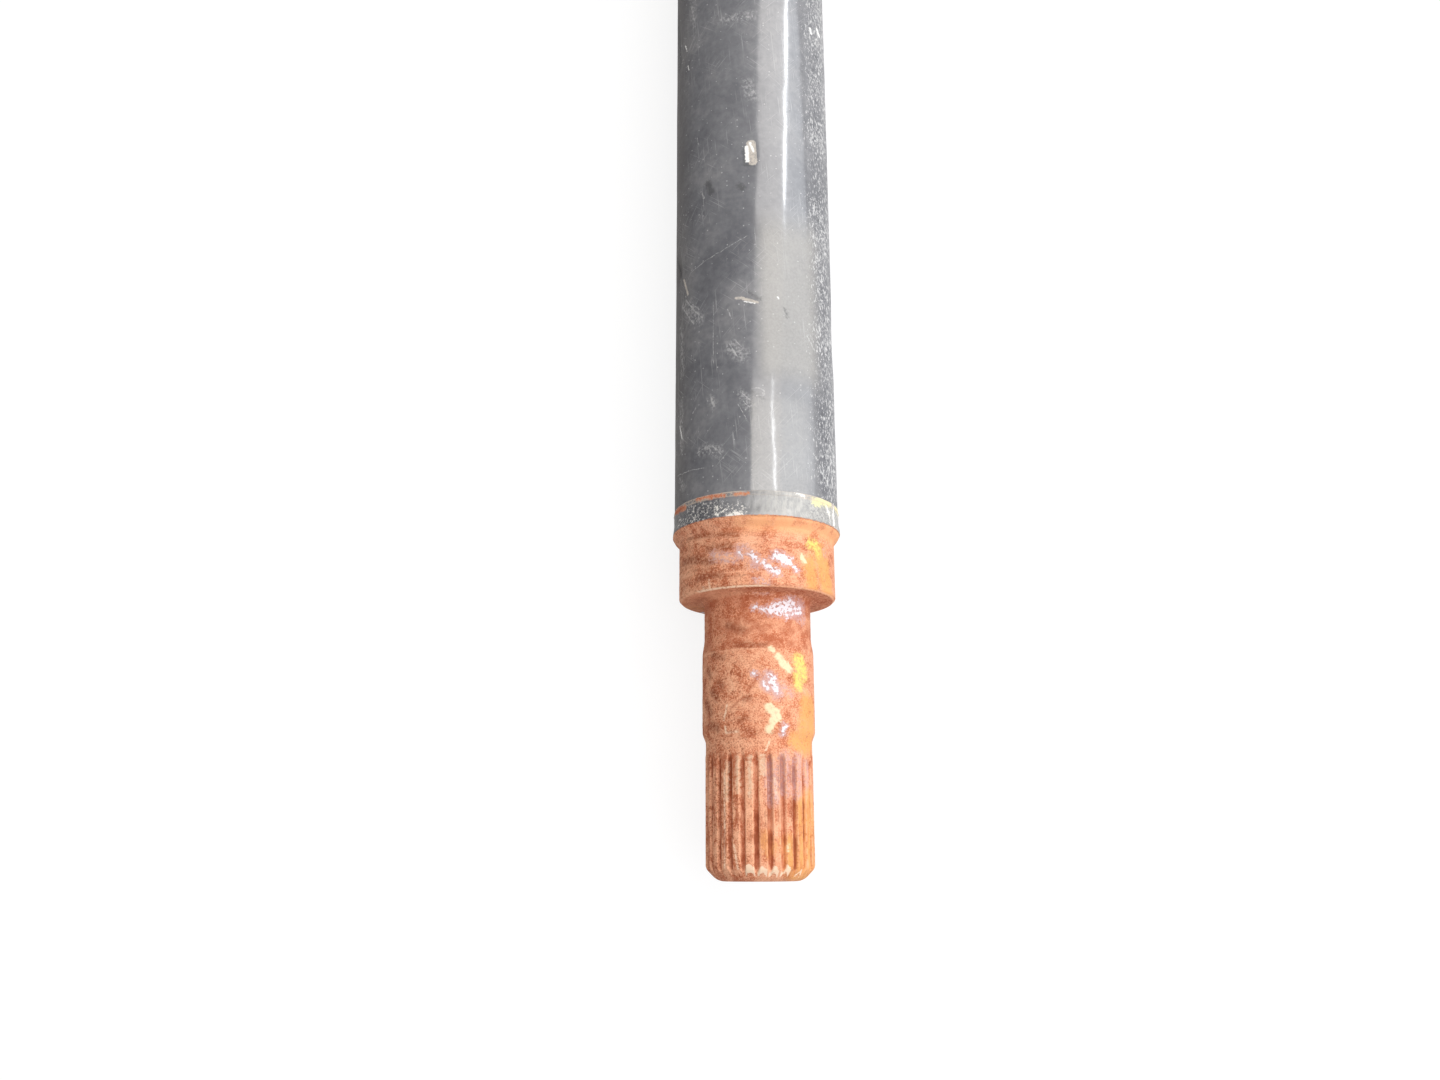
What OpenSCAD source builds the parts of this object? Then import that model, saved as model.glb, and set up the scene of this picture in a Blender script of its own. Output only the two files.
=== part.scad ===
// Tubular axle shaft: a steel tube with a splined stub shaft welded into each end.
// The shaft's axis is the Y axis, with the origin on it at mid-length and +Z up as it lies on a floor.
// The near end, on the -Y side, is the first of two equal ends.

/* [Tube] */
// Outside diameter of the tube
tube_d = 63.5; // [50:0.5:90]
// Wall thickness of the tube
tube_wall = 5; // [4:0.25:8]
// Length of the tube from one butt face to the other
tube_length = 493; // [250:1:1500]

/* [Weld] */
// Root face left unbevelled at the tube's end
root_face = 1; // [0.5:0.1:1.5]
// Length of the bevel on the tube's end
bevel_length = 7; // [5:0.5:12]
// How far the bead's toe laps onto the tube, past the bevel
toe_lap = 3; // [1:0.25:5]
// Height of the bead's crown above the tube
crown_height = 0.25; // [0.1:0.05:1]
// Height of the bead's lip above the tube
lip_height = 0.75; // [0.5:0.05:2]
// Rounding radius of the lip
lip_radius = 0.9; // [0.5:0.1:2]
// How far the bead's root laps onto the stub's collar
collar_lap = 4; // [3:0.25:8]

/* [Stub shaft] */
// Length of the spigot that is pressed into the tube
spigot_length = 28; // [15:1:60]
// Radial clearance of the spigot in the tube's bore
spigot_clearance = 0.02; // [0:0.01:0.1]
// Chamfer that leads the spigot into the bore
spigot_chamfer = 2; // [0.5:0.25:4]
// How far the collar lies below the tube's surface
collar_step = 1.85; // [1.25:0.05:2.5]
// Length of the collar from the butt face to its shoulder
collar_length = 25.75; // [15:0.25:60]
// Chamfer on the collar's shoulder
collar_chamfer = 1; // [0.5:0.1:2]
// Fillet between the neck and the collar's shoulder
neck_fillet = 2; // [1:0.25:4]
// Length of the plain neck
neck_length = 14.25; // [8:0.25:60]
// How far the neck lies below the pilot's surface
neck_step = 0.8; // [0.4:0.1:1.6]
// Length of the taper from the neck up to the pilot
taper_length = 7; // [3:0.5:20]
// Length of the pilot seat
pilot_length = 28; // [15:0.5:60]
// How far the pilot stands above the spline's tips
pilot_rise = 1.1; // [0.5:0.1:3]
// Length of the ramp from the pilot down to the relief
ramp_length = 4.5; // [2:0.5:10]
// Length of the relief between the ramp and the spline
relief_length = 4.5; // [2:0.5:12]
// How far the relief lies below the spline's tips
relief_step = 0.15; // [0.05:0.05:0.5]

/* [Spline] */
// Diameter over the tips of the spline's teeth
spline_d = 39.8; // [30:0.1:46]
// Length of the spline, with its end chamfer
spline_length = 44.5; // [25:0.5:100]
// Number of teeth
teeth = 25; // [18:1:28]
// Depth of the grooves between the teeth
groove_depth = 1.4; // [0.8:0.1:2]
// Width of a groove at its root
groove_root = 0.9; // [0.4:0.1:1.2]
// Angle of a groove's flanks to its centre line
flank_angle = 30; // [20:1:35]
// Radius of the cutter's run-out where a groove ends
runout_radius = 6; // [4:0.5:20]
// Chamfer at the spline's end, at 45 degrees
end_chamfer = 4.5; // [3:0.25:6]
// Rounding radius where the end chamfer meets the tips
end_rounding = 3.5; // [1:0.25:6]
// Rounding radius where the end chamfer meets the end face
face_rounding = 6; // [1:0.25:8]
// Angle from straight up to the middle of the nearest tooth, towards +X
tooth_phase = 1.7; // [0:0.1:7]

/* [Centre hole] */
// Diameter of the drilled pilot of the centre hole
centre_d = 5; // [3:0.5:8]
// Diameter of the centre hole's mouth
centre_mouth_d = 10.6; // [9:0.1:16]
// Depth of the drilled pilot below the cone
centre_depth = 5.5; // [3:0.5:12]

/* [Hidden] */
$fn = 96;

paint_black = [0.20, 0.20, 0.21];
rust_brown = [0.66, 0.36, 0.22];

// Each arc in an outline is drawn with this many steps
arc_steps = 8;
// A cutter reaches this far past the surface that it cuts
cut_past = 1;
centre_cone_angle = 60;
drill_point_angle = 118;

tube_r = tube_d / 2;
bore_r = tube_r - tube_wall;
bevel_root_r = bore_r + root_face;
collar_r = tube_r - collar_step;
spigot_r = bore_r - spigot_clearance;
spline_r = spline_d / 2;
groove_root_r = spline_r - groove_depth;
pilot_r = spline_r + pilot_rise;
neck_r = pilot_r - neck_step;
relief_r = spline_r - relief_step;
end_face_r = spline_r - end_chamfer;

// Places along a stub, from the butt face towards the spline's end
shoulder_z = collar_length;
neck_end_z = shoulder_z + neck_length;
pilot_start_z = neck_end_z + taper_length;
pilot_end_z = pilot_start_z + pilot_length;
relief_start_z = pilot_end_z + ramp_length;
spline_start_z = relief_start_z + relief_length;
end_face_z = spline_start_z + spline_length;

// Points of an arc about a centre, from one angle to another
function arc(centre, r, from, to) =
    [for (i = [0:arc_steps]) let (a = from + (to - from) * i / arc_steps)
        centre + r * [cos(a), sin(a)]];

// Points of a smooth S-curve between two points that are level at both ends along the second axis
function s_curve(start, end) =
    [for (i = [0:arc_steps]) let (t = i / arc_steps)
        [start.x + (end.x - start.x) * (1 - cos(180 * t)) / 2, start.y + (end.y - start.y) * t]];

// Puts a stub-end shape, modelled along +Z from the butt face, on the near or the far end
module at_near_end() {
    translate([0, -tube_length / 2, 0]) rotate([90, 0, 0]) children();
}
module at_far_end() {
    translate([0, tube_length / 2, 0]) rotate([-90, 0, 0]) children();
}

// Tube, with both ends bevelled for the weld
module tube() {
    half = tube_length / 2;
    color(paint_black) rotate([90, 0, 0]) rotate_extrude() polygon([
        [bore_r, -half],
        [bevel_root_r, -half],
        [tube_r, -half + bevel_length],
        [tube_r, half - bevel_length],
        [bevel_root_r, half],
        [bore_r, half],
    ]);
}

// Weld bead that fills the bevel, with a flat crown on the tube and a rounded lip over the collar
module weld_bead() {
    toe_z = -bevel_length - toe_lap;
    crown_r = tube_r + crown_height;
    lip_r = tube_r + lip_height;
    lip_centre = [lip_r - lip_radius, -lip_radius / 2];
    lip_foot = lip_centre + lip_radius * [cos(60), sin(60)];
    color(paint_black) rotate_extrude() polygon(concat(
        [[bevel_root_r, 0], [tube_r, -bevel_length], [tube_r, toe_z]],
        s_curve([tube_r, toe_z], [crown_r, toe_z + toe_lap]),
        s_curve([crown_r, lip_centre.y - 4 * lip_radius], [lip_r, lip_centre.y]),
        arc(lip_centre, lip_radius, 0, 60),
        s_curve(lip_foot, [collar_r, collar_lap]),
        [[collar_r, 0]]
    ));
}

// Outline of a stub shaft's turned body, as radius and length from the butt face
function stub_outline() = concat(
    [
        [0, -spigot_length],
        [spigot_r - spigot_chamfer, -spigot_length],
        [spigot_r, -spigot_length + spigot_chamfer],
        [spigot_r, 0],
        [collar_r, 0],
        [collar_r, shoulder_z - collar_chamfer],
        [collar_r - collar_chamfer, shoulder_z],
    ],
    arc([neck_r + neck_fillet, shoulder_z + neck_fillet], neck_fillet, 270, 180),
    [[neck_r, neck_end_z], [pilot_r, pilot_start_z]],
    s_curve([pilot_r, pilot_end_z], [relief_r, relief_start_z]),
    [[relief_r, spline_start_z], [spline_r, spline_start_z + relief_step]],
    arc([spline_r - end_rounding, end_face_z - end_chamfer - end_rounding * tan(22.5)],
        end_rounding, 0, 45),
    arc([end_face_r - face_rounding * tan(22.5), end_face_z - face_rounding], face_rounding, 45, 90),
    [[0, end_face_z]]
);

// Cross-section of a spline groove, from its root outwards
module groove_section(height) {
    spread = height * tan(flank_angle);
    polygon([
        [-groove_root / 2, 0],
        [groove_root / 2, 0],
        [groove_root / 2 + spread, height],
        [-groove_root / 2 - spread, height],
    ]);
}

// Cutter for one groove: a straight length, and the sweep of the cutter's rim where it leaves the metal
module groove_cutter() {
    height = groove_depth + cut_past;
    straight_start = spline_start_z + sqrt(2 * runout_radius * groove_depth - groove_depth ^ 2);
    translate([0, groove_root_r, straight_start])
        linear_extrude(end_face_z - straight_start + cut_past) groove_section(height);
    translate([0, groove_root_r + runout_radius, straight_start])
        rotate([-90, 0, 0]) rotate([0, 90, 0])
            rotate_extrude(angle = 90)
                translate([runout_radius, 0]) rotate(90) groove_section(height);
}

// Lathe centre in the end face: a drilled pilot under a cone
module centre_hole() {
    mouth_r = centre_mouth_d / 2;
    pilot_hole_r = centre_d / 2;
    cone_depth = (mouth_r - pilot_hole_r) / tan(centre_cone_angle / 2);
    pilot_depth = cone_depth + centre_depth;
    point_depth = pilot_hole_r / tan(drill_point_angle / 2);
    translate([0, 0, end_face_z]) rotate_extrude() polygon([
        [0, cut_past],
        [mouth_r, cut_past],
        [mouth_r, 0],
        [pilot_hole_r, -cone_depth],
        [pilot_hole_r, -pilot_depth],
        [0, -pilot_depth - point_depth],
    ]);
}

// Stub shaft: spigot, collar, neck, pilot seat and spline, turned from one bar
module stub_shaft() {
    color(rust_brown) difference() {
        rotate_extrude() polygon(stub_outline());
        for (i = [0:teeth - 1]) rotate([0, 0, (i + 0.5) * 360 / teeth - tooth_phase]) groove_cutter();
        centre_hole();
    }
}

tube();
at_near_end() weld_bead();  // near_weld_bead
at_far_end() weld_bead();  // far_weld_bead
at_near_end() stub_shaft();  // near_stub_shaft
at_far_end() stub_shaft();  // far_stub_shaft
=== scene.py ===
"""Tubular axle shaft with a splined stub welded into each end: black paint on the tube, rust on the stubs.

Sizes are in millimetres until a mesh is made. A place on the surface has an angle in radians, from straight
up towards +X, and a depth t along a stub, from the tube's butt face towards the spline's end.
"""

import math
from functools import reduce
from types import SimpleNamespace

import bpy
import numpy as np
from mathutils import Matrix, Vector


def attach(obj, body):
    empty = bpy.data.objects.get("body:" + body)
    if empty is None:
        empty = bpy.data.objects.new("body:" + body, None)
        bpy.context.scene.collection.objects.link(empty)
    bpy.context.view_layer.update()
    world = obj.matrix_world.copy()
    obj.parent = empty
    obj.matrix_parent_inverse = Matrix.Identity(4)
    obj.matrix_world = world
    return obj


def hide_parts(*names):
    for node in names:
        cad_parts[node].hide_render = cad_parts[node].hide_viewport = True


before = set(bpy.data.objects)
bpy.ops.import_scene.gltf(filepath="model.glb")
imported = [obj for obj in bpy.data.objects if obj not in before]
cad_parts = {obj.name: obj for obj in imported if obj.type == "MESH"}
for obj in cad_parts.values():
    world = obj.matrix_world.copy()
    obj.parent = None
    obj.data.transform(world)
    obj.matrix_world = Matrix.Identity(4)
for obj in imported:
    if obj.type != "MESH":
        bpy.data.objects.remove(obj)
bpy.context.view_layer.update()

MM = 0.001

# Sizes of the tube and the weld, as in the part's source
TUBE_R = 31.75
TUBE_WALL = 5.0
HALF_TUBE = 246.5
ROOT_FACE = 1.0
BEVEL = 7.0
TOE_LAP = 3.0
CROWN_HEIGHT = 0.25
LIP_HEIGHT = 0.75
LIP_ROUND = 0.9
COLLAR_LAP = 4.0

# Sizes of a stub shaft, as in the part's source
SPIGOT = 28.0
SPIGOT_CLEARANCE = 0.02
SPIGOT_CHAMFER = 2.0
COLLAR_STEP = 1.85
SHOULDER_T = 25.75
COLLAR_CHAMFER = 1.0
NECK_FILLET = 2.0
NECK_LENGTH = 14.25
NECK_STEP = 0.8
TAPER_LENGTH = 7.0
PILOT_LENGTH = 28.0
PILOT_RISE = 1.1
RAMP_LENGTH = 4.5
RELIEF_LENGTH = 4.5
RELIEF_STEP = 0.15
SPLINE_R = 19.9
SPLINE_LENGTH = 44.5
TEETH = 25
GROOVE_DEPTH = 1.4
GROOVE_ROOT = 0.9
FLANK = math.tan(math.radians(30))
RUNOUT_R = 6.0
END_CHAMFER = 4.5
END_ROUND = 3.5
FACE_ROUND = 6.0
CENTRE_MOUTH_R = 5.3
CENTRE_R = 2.5
CENTRE_DEPTH = 5.5
# Degrees from straight up to the middle of the nearest tooth, at each end
NEAR_TOOTH = 1.7
FAR_TOOTH = 180 / TEETH - NEAR_TOOTH

# Radii that follow from these sizes
BORE_R = TUBE_R - TUBE_WALL
BEVEL_ROOT_R = BORE_R + ROOT_FACE
CROWN_R = TUBE_R + CROWN_HEIGHT
LIP_R = TUBE_R + LIP_HEIGHT
COLLAR_R = TUBE_R - COLLAR_STEP
SPIGOT_R = BORE_R - SPIGOT_CLEARANCE
PILOT_R = SPLINE_R + PILOT_RISE
NECK_R = PILOT_R - NECK_STEP
RELIEF_R = SPLINE_R - RELIEF_STEP

# Depths t that follow from these sizes
TOE_T = -BEVEL - TOE_LAP
NECK_END_T = SHOULDER_T + NECK_LENGTH
PILOT_T = NECK_END_T + TAPER_LENGTH
PILOT_END_T = PILOT_T + PILOT_LENGTH
RELIEF_T = PILOT_END_T + RAMP_LENGTH
SPLINE_T = RELIEF_T + RELIEF_LENGTH
END_T = SPLINE_T + SPLINE_LENGTH

# Where the ridge on the weld's toe starts and ends, and its height
RIDGE_FROM = -9.8
RIDGE_TO = -8.1
RIDGE_HEIGHT = 0.3
# How far the weld's edges sink into the tube and into the collar
TOE_SINK = 0.15
COLLAR_SINK = 0.1

# Camera: focal length and picture size in pixels
FOCAL = 1217.0
PICTURE_W = 1440
PICTURE_H = 1080
# The shaft's axis before the camera: its tilt and roll, and the column, the distance in millimetres and the
# depth t of the point where it crosses the picture's middle row
AXIS_TILT = math.radians(14.94)
AXIS_ROLL = math.radians(0.24)
AXIS_COLUMN = 756.4
AXIS_DISTANCE = 473.7
AXIS_T = 0.6

# Marks seen in the picture, by the radius of the surface that they lie on. Each is a stroke from one pixel to
# another, with half its width in millimetres.
WHITE_SCALE = {
    COLLAR_R: (
        (751, 554, 756, 559, 0.7), (739, 552, 742, 556, 0.3), (764, 562, 768, 567, 0.5),
        (770, 568, 777, 572, 0.9), (776, 556, 788, 561, 1.4), (794, 567, 797, 571, 0.3)),
    NECK_R: (
        (768, 608, 790, 600, 0.4), (771, 611, 792, 604, 0.9), (778, 613, 800, 607, 0.6),
        (762, 610, 776, 606, 0.3), (786, 616, 800, 612, 0.3), (753, 608, 756, 607, 0.2)),
    PILOT_R: (
        (772, 682, 777, 691, 0.9), (764, 683, 768, 688, 0.4), (770, 676, 774, 678, 0.4),
        (785, 727, 783, 732, 0.5), (753, 673, 756, 675, 0.3)),
}
LILAC_STAIN = {
    COLLAR_R: (
        (714, 556, 735, 558, 1.8), (738, 547, 746, 547, 1.1), (751, 565, 757, 566, 1.3),
        (757, 582, 767, 583, 1.7), (824, 551, 826, 556, 0.9)),
    NECK_R: ((790, 610, 802, 618, 2.4), (796, 600, 803, 606, 1.6)),
    PILOT_R: ((768, 677, 778, 693, 2.4), (763, 684, 770, 690, 1.2), (784, 685, 791, 694, 1.0)),
}
CREAM_PAINT = {
    COLLAR_R: ((802, 557, 804, 561, 1.0), (809, 523, 812, 526, 0.8)),
    PILOT_R: (
        (770.5, 648.5, 772.5, 650, 1.0), (778, 656, 783, 663, 1.2), (783, 663, 789, 669, 1.5),
        (768.5, 707, 775, 714, 1.5), (775, 712, 777, 718, 1.8), (773, 719, 769.5, 729, 1.3)),
    SPLINE_R: ((788, 847, 788, 850, 0.5),),
}
YELLOW_PAINT = {
    COLLAR_R: ((811, 544, 816, 547, 1.8), (816, 549, 818, 554, 0.9)),
    PILOT_R: ((799, 662, 803, 674, 2.8), (798, 676, 799, 685, 1.8)),
}
ORANGE_BLOOM = {
    COLLAR_R: ((810, 564, 813, 588, 2.5), (822, 558, 828, 590, 4.0)),
    PILOT_R: ((806, 702, 804, 732, 2.6), (797, 740, 806, 746, 2.8), (811, 706, 811, 744, 3.0)),
    SPLINE_R: (
        (804, 806, 806, 872, 4.0), (790, 846, 794, 870, 3.2), (766, 838, 770, 850, 1.6),
        (809, 800, 812, 866, 4.0)),
}
DARK_STAIN = {
    COLLAR_R: (
        (688, 538, 736, 535, 0.8), (708, 549, 730, 546, 1.2), (684, 562, 712, 561, 1.3),
        (698, 578, 722, 575, 1.0)),
    PILOT_R: (
        (736, 645, 766, 645, 0.8), (728, 625, 742, 630, 1.2), (713, 654, 715, 657, 1.2),
        (708, 670, 710, 676, 1.2), (720, 683, 722, 686, 1.0), (713, 692, 716, 697, 1.4),
        (707, 704, 710, 713, 1.8), (710, 725, 717, 728, 1.6), (744, 699, 749, 698, 0.9),
        (740, 721, 746, 718, 0.8), (718, 656, 723, 658, 0.7)),
    SPLINE_R: (
        (794, 842, 794, 846, 0.9), (793, 802, 793, 818, 0.9), (781, 806, 781, 820, 0.8),
        (768, 812, 768, 826, 0.7)),
}
THIN_DARK = {PILOT_R: ((758, 676, 748, 691, 0.6), (744, 696, 731, 709, 0.3))}
# Thin pale lines: partly rubbed edges and scratches, partly painted highlights along edges of the collar, the
# pilot and the teeth
THIN_PALE_AND_HIGHLIGHT = {
    COLLAR_R: ((697, 592, 710, 589, 0.3), (708.6, 580, 709.8, 588.5, 0.3), (703, 587, 704.4, 590.5, 0.25)),
    PILOT_R: (
        (725, 727, 726, 732, 0.35), (726, 732.4, 738, 731, 0.35), (727, 705, 724, 720, 0.3),
        (770, 740, 766, 750, 0.3)),
    SPLINE_R: ((724.4, 773, 724.6, 868, 0.3), (734, 845, 738, 869, 0.3), (775, 778, 776.5, 800, 0.5)),
}
TOOTH_LILAC = {SPLINE_R: (
    (772, 766, 773, 800, 2.2), (784, 758, 785, 790, 2.2), (797, 760, 797, 792, 2.4),
    (806, 764, 807, 784, 1.6))}
TOOTH_MAUVE = {
    SPLINE_R: ((780.5, 757, 781, 788, 0.8), (769.5, 757, 769.5, 777, 0.6), (792.5, 767, 793, 782, 0.7)),
}
TOOTH_ASH = {SPLINE_R: (
    (738, 759, 738.4, 790, 0.9), (750, 758, 750.4, 796, 0.9), (762, 757, 762.5, 773, 1.1),
    (727, 762, 727, 800, 0.7))}
# The middles of the white chips on the ends of the teeth, with half their lengths in millimetres
TOOTH_CHIPS = ((749, 869, 2.3), (762.5, 871, 1.9), (775, 871, 2.0), (787.5, 870.5, 2.1), (803, 873, 0.9))

# Dark marks on the tube: soot, and painted shade beside the chip, in the dents and the scrape, and along the
# left edge
TUBE_SOOT_AND_SHADE = {TUBE_R: (
    (708, 184, 711, 192, 1.5), (740, 186, 742, 188, 1.3), (743.5, 149, 744, 163, 0.4),
    (745, 165, 753, 166, 0.5), (677.5, 260, 682, 280, 1.0), (832, 326, 833.5, 360, 1.2),
    (749, 292, 760, 299, 0.4), (785, 309, 787, 317, 0.35), (678, -5, 680, 66, 2.6),
    (752, 392, 763, 398, 0.3))}
TUBE_CHIP = {TUBE_R: (
    (751, 144, 752.5, 161, 1.9), (736, 298, 744, 297.5, 0.5), (743, 298.5, 757, 302, 0.6),
    (684, 280, 688, 294, 0.5))}
# White marks on the tube: bare specks, and on the chip a painted highlight along its raised edge
TUBE_WHITE_AND_GLINT = {TUBE_R: (
    (746.6, 147, 747.4, 161, 0.8), (750, 143, 753.5, 151, 0.5), (744, 301, 755, 303.2, 0.22),
    (817, 30, 819, 36, 0.9), (810, 29, 811, 33, 0.7), (680, 427, 682, 438, 0.4),
    (685.5, 46, 687, 51, 0.3), (688, 66, 689, 70, 0.25), (778, 297, 778.5, 299, 0.25))}
TUBE_SCRATCH = {TUBE_R: (
    (691, 273, 722, 251, 0.12), (722, 251, 747, 236, 0.1), (701, 192, 704, 198, 0.35),
    (728, 311, 732, 319, 0.2), (713.4, 302, 713.2, 364, 0.12), (807, 336, 815, 352, 0.25),
    (752, 388.6, 758, 387.4, 0.22), (758, 387.4, 764, 390, 0.22), (764, 390, 765, 394.5, 0.25),
    (765, 394.5, 757, 395.6, 0.22), (741, 392, 750, 400, 0.16), (740, 398, 750, 407, 0.14),
    (738, 404, 747, 420, 0.12), (697, 453, 709, 446, 0.2), (713, 446, 721, 454, 0.22),
    (693, 413, 695.5, 408, 0.3), (711, 398, 714, 406, 0.4), (678, 476, 704, 468, 0.16),
    (697, 138, 699, 146, 0.2), (686, 300, 702, 318, 0.2), (682, 306, 694, 324, 0.25),
    (690, 302, 699, 309, 0.2), (729, 344, 737, 356, 0.2), (735, 340, 741, 346, 0.2))}
TUBE_SCUFF = {TUBE_R: (
    (686, 305, 698, 319, 3.0), (731, 347, 742, 355, 2.8), (742, 393, 749, 405, 1.8),
    (702, 450, 718, 450, 2.2), (692, -4, 694, 24, 1.4), (748, 84, 752, 95, 2.4),
    (711, 399, 713, 405, 1.4), (681, 404, 682, 450, 1.4), (680, 480, 684, 488, 1.4),
    (681, 330, 683, 372, 1.6), (724, 20, 752, 15, 2.0))}
WELD_RUST = {
    TUBE_R: ((697, 499.5, 724, 495.5, 0.6), (735, 494.2, 748, 493.8, 0.45), (676, 513, 685, 508, 1.0)),
}
WELD_CHALK = {TUBE_R: (
    (727, 516.5, 733, 515.5, 0.5), (735, 513.5, 740, 515, 0.8), (716, 506.6, 716.4, 507.4, 0.4),
    (716, 514, 717, 515, 0.4), (833, 510, 833, 526, 0.8), (797, 493, 803, 495, 0.7),
    (826, 505, 829, 516, 0.6), (837, 514, 838, 524, 0.7))}
WELD_SPECKLE = {TUBE_R: ((692, 512, 740, 510, 2.2), (680, 524, 702, 517, 1.8))}
WELD_YELLOW = {TUBE_R: ((820, 500, 829, 502, 1.8), (814, 502, 819, 503, 1.0), (835, 508, 838, 513, 1.2))}

# Dents in the tube: the pixel of each, its half sizes around and along the tube and its depth in millimetres
TUBE_DENTS = (
    (679.5, 270, 2.4, 6, 1.3), (833, 342, 2.6, 9, 1.2), (746, 299, 4.0, 1.3, 0.35),
    (751, 152, 2.4, 4, 0.25))
# The rows between which the tube's gloss is rubbed off, and the column in which they are read
RUBBED_FROM = 222
RUBBED_TO = 388
MIDDLE = 770
# Strip lamps in the tube's gloss: two pixels on each, from top to bottom, and its width in metres
STRIPS = ((786.5, -40, 785.5, 77, 0.07), (785, 104, 784, 203, 0.07), (772, 402, 776.5, 497, 0.032))


def camera_pose():
    """Rotation from camera terms (right, down, forward) to the shaft's, and the camera's place."""
    near = Vector((math.sin(AXIS_ROLL) * math.cos(AXIS_TILT),
                   math.cos(AXIS_ROLL) * math.cos(AXIS_TILT), -math.sin(AXIS_TILT)))
    towards = Vector((0, 0, -1))
    up = (towards - near * towards.dot(near)).normalized()
    right = (-near).cross(up)
    to_shaft = Matrix((right, -near, up))
    on_axis = Vector(((AXIS_COLUMN - PICTURE_W / 2) / FOCAL * AXIS_DISTANCE, 0, AXIS_DISTANCE))
    return to_shaft, Vector((0, -HALF_TUBE - AXIS_T, 0)) - to_shaft @ on_axis


TO_SHAFT, EYE = camera_pose()


def meet(start, ray, radius, far):
    """Where a ray meets the cylinder of that radius about the shaft's axis: its nearer or farther place."""
    a = ray.x ** 2 + ray.z ** 2
    b = start.x * ray.x + start.z * ray.z
    c = start.x ** 2 + start.z ** 2 - radius ** 2
    root = math.sqrt(max(b * b - a * c, 0))
    return start + ray * ((-b + (root if far else -root)) / a)


def sight(column, line):
    """Direction in which the camera sees a pixel of the picture."""
    return TO_SHAFT @ Vector(((column - PICTURE_W / 2) / FOCAL, (line - PICTURE_H / 2) / FOCAL, 1))


def spot(column, line, radius):
    """Arc length and depth t of the surface point of that radius that the picture shows at a pixel."""
    hit = meet(EYE, sight(column, line), radius, False)
    return math.atan2(hit.x, hit.z) * radius, -hit.y - HALF_TUBE


def glint(column, line, reach):
    """Place in metres, at a reach from the axis, that a pixel of the picture shows mirrored in the tube."""
    ray = sight(column, line)
    hit = meet(EYE, ray, TUBE_R, False)
    outward = Vector((hit.x, 0, hit.z)).normalized()
    return meet(hit, ray - 2 * ray.dot(outward) * outward, reach / MM, True) * MM


# Shapes


def noise(points, seed):
    """Smooth noise of about -1 to 1 at each row of points."""
    rng = np.random.default_rng(seed)
    table = rng.permutation(256)
    slopes = rng.normal(size=(256, 3))
    slopes /= np.linalg.norm(slopes, axis=1, keepdims=True)
    cell = np.floor(points).astype(int)
    part = points - cell
    ease = part ** 3 * (part * (part * 6 - 15) + 10)
    total = np.zeros(len(points))
    for corner in np.ndindex(2, 2, 2):
        key = table[(cell[:, 0] + corner[0]) & 255]
        key = table[(key + cell[:, 1] + corner[1]) & 255]
        key = table[(key + cell[:, 2] + corner[2]) & 255]
        weight = np.where(corner, ease, 1 - ease).prod(1)
        total += weight * (slopes[key] * (part - corner)).sum(1)
    return total * 1.5


def ring_noise(angles, lobes, seed):
    """The same noise around the shaft, finer with more lobes."""
    around = [np.cos(angles) * lobes, np.sin(angles) * lobes, np.full(len(angles), seed)]
    return noise(np.stack(around, -1), seed)


def surface_points(radius, axial, angles):
    """Points of a surface given by radius and Y for each row and angle."""
    axial = np.broadcast_to(axial, radius.shape)
    return np.stack([radius * np.sin(angles), axial, radius * np.cos(angles)], -1).reshape(-1, 3)


def rough(radius, axial, angles, size, height, seed):
    """The radius with bumps of a size and height."""
    return radius + height * noise(surface_points(radius, axial, angles) / size, seed).reshape(radius.shape)


def steps(start, end, count):
    """Points from start to just before end."""
    return [tuple(np.array(start) + (np.array(end) - start) * i / count) for i in range(count)]


def arc(centre, r, start, end, count):
    """Points of an arc from one angle in degrees to just before another."""
    angles = np.radians(np.linspace(start, end, count, endpoint=False))
    return [(centre[0] + r * math.cos(a), centre[1] + r * math.sin(a)) for a in angles]


def ease_line(start, end, count):
    """Points of an S-curve in radius over an even run of t, to just before its end."""
    (r, t), (r_end, t_end) = start, end
    shares = np.linspace(0, 1, count, endpoint=False)
    return [(r + (r_end - r) * (1 - math.cos(math.pi * s)) / 2, t + (t_end - t) * s) for s in shares]


def bell(x, width):
    """1 where x is zero, falling off over that width."""
    return np.exp(-((x / width) ** 2))


def grid_faces(radius, axial, loop):
    """Quads between rows of points, with their UV map."""
    rows, columns = radius.shape
    grid = np.arange(rows * columns).reshape(rows, columns)
    across = np.roll(np.arange(columns), -1)
    upper = grid if loop else grid[:-1]
    lower = np.roll(grid, -1, 0) if loop else grid[1:]
    quads = np.stack([upper, lower, lower[:, across], upper[:, across]], -1).reshape(-1, 4)

    run = np.concatenate([[0], np.cumsum(np.hypot(np.diff(radius[:, 0]), np.diff(axial[:, 0])))])
    last = run[-1]
    if loop:
        last += np.hypot(radius[0, 0] - radius[-1, 0], axial[0, 0] - axial[-1, 0])
        run = np.append(run, last)
    left = np.arange(columns)
    u = np.stack([left, left, left + 1, left + 1], -1) / columns
    u = np.broadcast_to(u, (len(run) - 1, columns, 4))
    v = np.stack([run[:-1], run[1:], run[1:], run[:-1]], -1)[:, None, :] / last
    return quads, np.stack([u, np.broadcast_to(v, u.shape)], -1).reshape(-1, 4, 2)


def end_fan(ring, pole, place):
    """Triangles from a pole on the axis to a ring of points, with their UV map."""
    columns = len(ring)
    level = np.full(columns, place)
    fan = np.stack([np.full(columns, pole), ring, np.roll(ring, -1)], -1)
    corners = [np.stack([np.arange(columns) + step, level], -1) for step in (0.5, 0, 1)]
    return fan, np.stack(corners, 1) / [columns, 1]


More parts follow.
